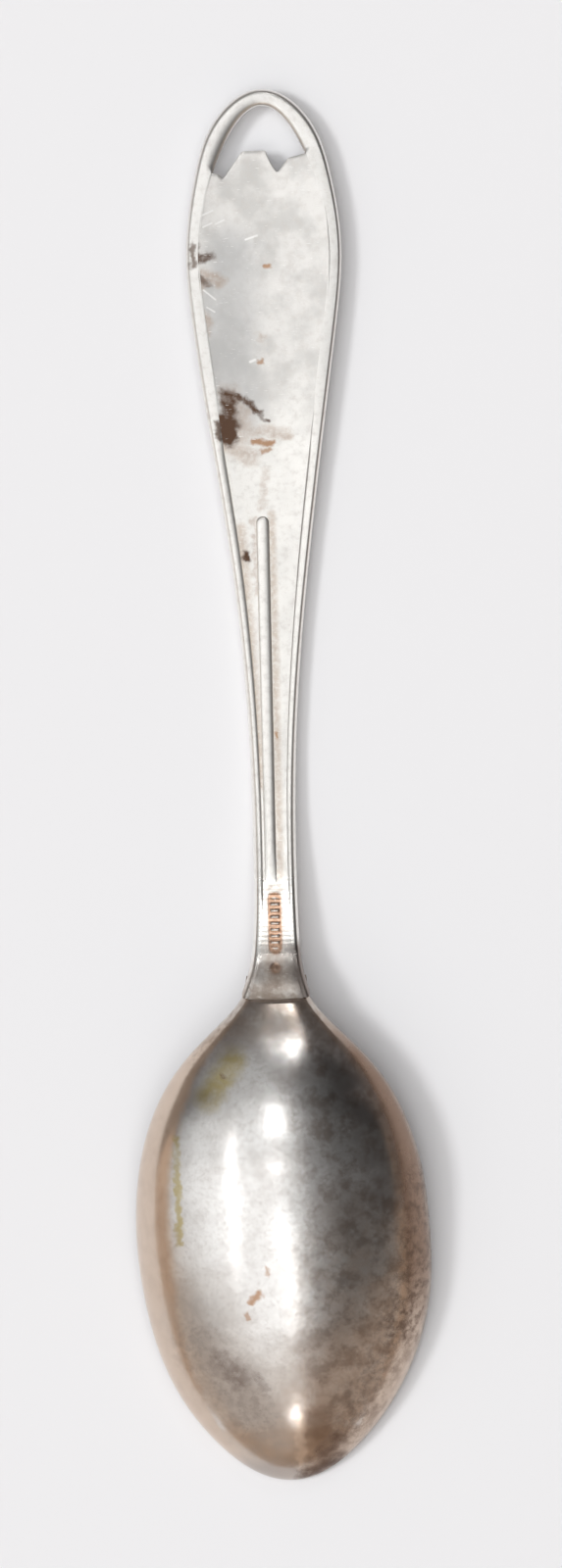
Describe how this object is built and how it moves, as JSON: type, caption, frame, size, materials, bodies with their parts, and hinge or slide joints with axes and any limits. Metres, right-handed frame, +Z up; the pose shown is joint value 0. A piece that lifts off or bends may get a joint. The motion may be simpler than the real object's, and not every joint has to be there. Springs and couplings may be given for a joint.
{
  "type": "souvenir teaspoon",
  "caption": "Silver souvenir teaspoon with an egg-shaped bowl, a ribbed stem and a pierced arch over a jagged head plate.",
  "frame": {"origin": "on the table, under the middle of the spoon as it lies face down", "axes": "+Z up out of the backs of bowl and handle, +Y along the spoon towards the arch at the handle's free end, +X to the right"},
  "size_m": [0.0312, 0.146, 0.0117],
  "materials": {
    "bowl_silver": "satin",
    "handle_silver": "satin",
    "wire_silver": "gloss",
    "solder": "satin"
  },
  "bodies": {
    "root": {"bowl": "bowl_silver", "handle": "handle_silver", "border_wire": "wire_silver", "back_rib": "wire_silver", "heel_solder": "solder"}
  },
  "joints": []
}
